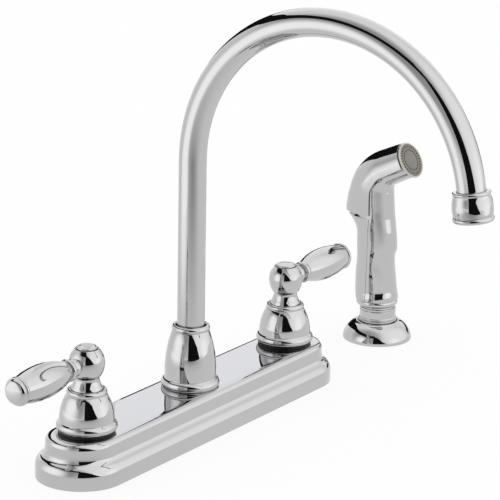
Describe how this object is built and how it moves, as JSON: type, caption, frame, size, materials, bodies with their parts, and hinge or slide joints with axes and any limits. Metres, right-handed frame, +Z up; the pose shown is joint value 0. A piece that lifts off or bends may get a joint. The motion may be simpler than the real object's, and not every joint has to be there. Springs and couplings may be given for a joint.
{
  "type": "two handle kitchen faucet",
  "caption": "Chrome two handle kitchen faucet on an oval cover plate, with a high arched swivel spout, lever handles and a side spray in its own holder.",
  "frame": {"origin": "middle of the cover plate's underside, on the spout's turning axis", "axes": "+Z up; the spout points to -Y; the hot handle is at -X, the cold handle and the side spray at +X"},
  "size_m": [0.4043, 0.2303, 0.3207],
  "materials": {
    "chrome": "polished",
    "brass": "machined",
    "copper": "drawn tube",
    "steel": "plain",
    "black_rubber": "matte",
    "white_plastic": "moulded",
    "pale_rim": "moulded",
    "grey_face": "moulded"
  },
  "bodies": {
    "base": {"cold_bell": "chrome", "cold_bell_seal": "black_rubber", "cold_bonnet_nut": "brass", "cold_cartridge": "white_plastic", "cold_crossover_tube": "copper", "cold_seat": "black_rubber", "cold_seat_spring": "steel", "cold_valve_body": "brass", "deck_gasket": "black_rubber", "deck_plate": "chrome", "diverter_body": "white_plastic", "holder_gasket": "black_rubber", "holder_liner": "white_plastic", "holder_nut": "white_plastic", "hot_bell": "chrome", "hot_bell_seal": "black_rubber", "hot_bonnet_nut": "brass", "hot_cartridge": "white_plastic", "hot_crossover_tube": "copper", "hot_seat": "black_rubber", "hot_seat_spring": "steel", "hot_valve_body": "brass", "mounting_nuts": "brass", "mounting_washers": "steel", "spout_bell": "chrome", "spout_hub": "brass", "spray_holder": "chrome", "swivel_ring": "white_plastic"},
    "hot_handle": {"hot_stem": "brass", "hot_handle_screw": "steel", "hot_handle_hub": "chrome", "hot_index_cap": "chrome", "hot_lever_collar": "chrome", "hot_lever": "chrome", "hot_lever_cap": "chrome"},
    "cold_handle": {"cold_stem": "brass", "cold_handle_screw": "steel", "cold_handle_hub": "chrome", "cold_index_cap": "chrome", "cold_lever_collar": "chrome", "cold_lever": "chrome", "cold_lever_cap": "chrome"},
    "spout": {"spout_tube": "chrome", "spout_collar": "brass", "spout_o_rings": "black_rubber", "outlet_ferrule": "brass", "aerator_shell": "chrome", "aerator_insert": "white_plastic", "aerator_washer": "black_rubber"},
    "diverter": {"diverter_plunger": "white_plastic"},
    "spray": {"spray_shell": "chrome", "spray_back": "chrome", "spray_collar": "chrome", "spray_coupling": "chrome", "nozzle_rim": "pale_rim", "nozzle_face": "grey_face", "spray_valve_spring": "steel"},
    "trigger": {"trigger": "chrome", "trigger_pins": "steel"},
    "spray_valve": {"spray_valve": "white_plastic"}
  },
  "joints": [
    {"name": "spout_swivel", "type": "hinge", "parent": "base", "child": "spout", "pos_m": [0, 0, 0], "axis": [0, 0, 1], "range_deg": [-180, 180]},
    {"name": "hot_turn", "type": "hinge", "parent": "base", "child": "hot_handle", "pos_m": [-0.1016, 0, 0], "axis": [0, 0, 1], "range_deg": [0, 90]},
    {"name": "cold_turn", "type": "hinge", "parent": "base", "child": "cold_handle", "pos_m": [0.1016, 0, 0], "axis": [0, 0, 1], "range_deg": [-90, 0]},
    {"name": "spray_lift", "type": "slide", "parent": "base", "child": "spray", "axis": [0, 0, 1], "range_m": [0, 0.16]},
    {"name": "trigger_press", "type": "hinge", "parent": "spray", "child": "trigger", "pos_m": [0.2125, -0.01411, 0.12067], "axis": [-1, 0, 0], "range_deg": [0, 2.5], "stiffness_Nm_per_rad": 1.5, "springref_deg": -2.86},
    {"name": "spray_valve_slide", "type": "slide", "parent": "spray", "child": "spray_valve", "axis": [0, -1, 0], "range_m": [0, 0.0016]},
    {"name": "diverter_lift", "type": "slide", "parent": "base", "child": "diverter", "axis": [0, 0, 1], "range_m": [0, 0.0015]}
  ],
  "couplings": [
    {"joint": "spray_valve_slide", "follows": "trigger_press", "m_per_rad": 0.036}
  ]
}
